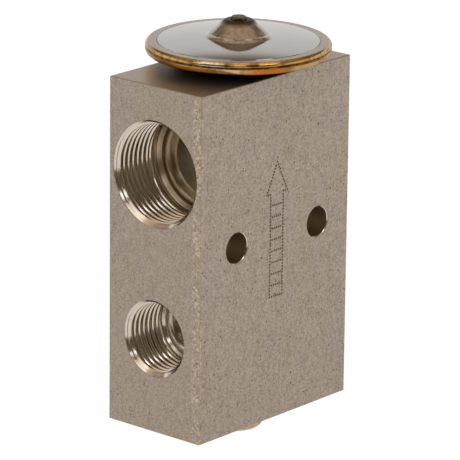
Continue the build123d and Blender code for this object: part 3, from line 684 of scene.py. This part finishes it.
# Name, azimuth and elevation in degrees (azimuth 0 along +X), distance, width, height, radiance, colour.
LAMPS = (
    ("left_low", 166, 28, 0.8, 0.13, 0.13, 2.5, (1.0, 1.0, 1.0)),
    ("left_soft", 176, 47, 0.8, 0.42, 0.34, 0.72, (1.0, 1.0, 1.0)),
    ("left_warm", -157, 45, 0.8, 0.11, 0.12, 1.0, (1.0, 0.79, 0.58)),
    ("behind_camera", -139, 32, 0.8, 0.23, 0.17, 1.7, (1.0, 0.99, 0.97)),
    ("right_soft", -97, 42, 0.8, 0.26, 0.20, 1.7, (1.0, 0.98, 0.95)),
    ("warm_wall", 132, 30, 0.9, 0.6, 0.25, 0.32, (1.0, 0.84, 0.68)),
)


def light_up():
    for name, azimuth, elevation, distance, width, height, radiance, color in LAMPS:
        around, up = math.radians(azimuth), math.radians(elevation)
        way = Vector((math.cos(up) * math.cos(around), math.cos(up) * math.sin(around), math.sin(up)))
        data = bpy.data.lights.new(name, "AREA")
        data.shape = "RECTANGLE"
        data.size, data.size_y = width, height
        data.energy = radiance * math.pi * width * height
        data.color = color
        lamp = add_object(name, data)
        lamp.location = LIT_POINT + way * distance
        lamp.rotation_euler = (-way).to_track_quat("-Z", "Y").to_euler()


# The room's light by height, as the ramp's place (0 straight down, 1 straight up) and colour.
SKY_STOPS = (
    (0.405, (1.0, 1.0, 1.0)),
    (0.45, (0.27, 0.20, 0.14)),
    (0.70, (0.32, 0.24, 0.17)),
    (0.86, (0.70, 0.53, 0.39)),
    (1.0, (0.72, 0.54, 0.40)),
)
DARK_SIDE, DARK_ROOM = (-0.80, -0.60, -0.05), (0.10, 0.066, 0.040, 1.0)
DARK_FROM, DARK_TO = 0.25, 0.75  # how near to that direction the room turns dark
WHITE = (1.0, 1.0, 1.0, 1.0)


def sky_ramp(tree, generated):
    split = tree.nodes.new("ShaderNodeSeparateXYZ")
    sky = tree.nodes.new("ShaderNodeValToRGB")
    tree.links.new(generated, split.inputs[0])
    tree.links.new(split.outputs["Z"], sky.inputs[0])
    stops = sky.color_ramp.elements
    (first, first_color), *between, (last, last_color) = SKY_STOPS
    stops[0].position, stops[0].color = first, (*first_color, 1.0)
    stops[1].position, stops[1].color = last, (*last_color, 1.0)
    for position, color in between:
        stops.new(position).color = (*color, 1.0)
    return sky.outputs[0]


def dark_share(tree, generated):
    """1 towards the dark part of the room, behind the camera."""
    toward = tree.nodes.new("ShaderNodeVectorMath")
    toward.operation = "DOT_PRODUCT"
    tree.links.new(generated, toward.inputs[0])
    toward.inputs[1].default_value = DARK_SIDE
    share = tree.nodes.new("ShaderNodeMapRange")
    share.interpolation_type = "SMOOTHSTEP"
    tree.links.new(toward.outputs["Value"], share.inputs["Value"])
    share.inputs["From Min"].default_value = DARK_FROM
    share.inputs["From Max"].default_value = DARK_TO
    return share.outputs[0]


def world_mix(tree, share, a, b):
    """Light a where share is 0, colour b where it is 1."""
    made = tree.nodes.new("ShaderNodeMix")
    made.data_type = "RGBA"
    tree.links.new(share, made.inputs[0])
    tree.links.new(a, made.inputs[6])
    made.inputs[7].default_value = b
    return made.outputs[2]


def set_world():
    """White to the camera. For the object, a white sweep low down and a dim warm room above it."""
    world = bpy.data.worlds.new("studio")
    bpy.context.scene.world = world
    world.use_nodes = True
    tree = world.node_tree
    tree.nodes.clear()
    generated = tree.nodes.new("ShaderNodeTexCoord").outputs["Generated"]
    to_camera = tree.nodes.new("ShaderNodeLightPath").outputs["Is Camera Ray"]
    room = world_mix(tree, dark_share(tree, generated), sky_ramp(tree, generated), DARK_ROOM)
    background = tree.nodes.new("ShaderNodeBackground")
    output = tree.nodes.new("ShaderNodeOutputWorld")
    tree.links.new(world_mix(tree, to_camera, room, WHITE), background.inputs["Color"])
    tree.links.new(background.outputs[0], output.inputs[0])


FLOOR_R, FLOOR_SIDES = 0.45, 96
FLOOR_COLOR, FLOOR_GLOW = (0.9, 0.9, 0.9, 1.0), 1.1
GLOW_SHARE, GLOW_SHARE_SEEN = 0.4, 0.9  # in light and reflections, and to the camera


def floor_material():
    """White that glows more to the camera, so that only the object's soft shadow shows on it."""
    material = bpy.data.materials.new("floor_white")
    material.use_nodes = True
    tree = material.node_tree
    tree.nodes.clear()
    path = tree.nodes.new("ShaderNodeLightPath")
    glow = tree.nodes.new("ShaderNodeEmission")
    glow.inputs["Strength"].default_value = FLOOR_GLOW
    matte = tree.nodes.new("ShaderNodeBsdfDiffuse")
    matte.inputs["Color"].default_value = FLOOR_COLOR
    share = tree.nodes.new("ShaderNodeMapRange")
    share.inputs["To Min"].default_value = GLOW_SHARE
    share.inputs["To Max"].default_value = GLOW_SHARE_SEEN
    mixed = tree.nodes.new("ShaderNodeMixShader")
    output = tree.nodes.new("ShaderNodeOutputMaterial")
    tree.links.new(path.outputs["Is Camera Ray"], share.inputs[0])
    tree.links.new(share.outputs[0], mixed.inputs[0])
    tree.links.new(matte.outputs[0], mixed.inputs[1])
    tree.links.new(glow.outputs[0], mixed.inputs[2])
    tree.links.new(mixed.outputs[0], output.inputs[0])
    return material


def floor():
    """A round white table."""
    angles = [TURN * k / FLOOR_SIDES for k in range(FLOOR_SIDES)]
    points = [(FLOOR_R / MM * math.cos(angle), FLOOR_R / MM * math.sin(angle), 0.0) for angle in angles]
    table = mesh_piece("floor", points, [tuple(range(FLOOR_SIDES))])
    table.data.materials.append(floor_material())


CAMERA_PLACE = Vector((-618.92, -532.37, 294.30))
CAMERA_AZIMUTH, CAMERA_ELEVATION, CAMERA_ROLL = -49.305, 17.060, 0.627  # degrees; azimuth 0 looks along +Y
CAMERA_LENS, SENSOR_WIDTH = 316.5, 36.0


def camera():
    """The photograph's viewpoint: a long lens, from the left of the ports' face and a little above."""
    azimuth, elevation = math.radians(CAMERA_AZIMUTH), math.radians(CAMERA_ELEVATION)
    data = bpy.data.cameras.new("camera")
    data.sensor_width, data.lens = SENSOR_WIDTH, CAMERA_LENS
    data.clip_start, data.clip_end = 0.01, 20.0
    cam = add_object("camera", data)
    back = Vector((
        math.sin(azimuth) * math.cos(elevation),
        -math.cos(azimuth) * math.cos(elevation),
        math.sin(elevation),
    ))
    cam.location = CAMERA_PLACE * MM
    cam.rotation_mode = "QUATERNION"
    cam.rotation_quaternion = (-back).to_track_quat("-Z", "Y")
    cam.rotation_quaternion.rotate(Quaternion(back, math.radians(CAMERA_ROLL)))
    bpy.context.scene.camera = cam


bpy.context.scene.view_settings.view_transform = "Standard"
camera()
set_world()
light_up()
floor()
dress_nodes()
port_threads()
lid_pressing()
threaded_screw()
punched_arrow()
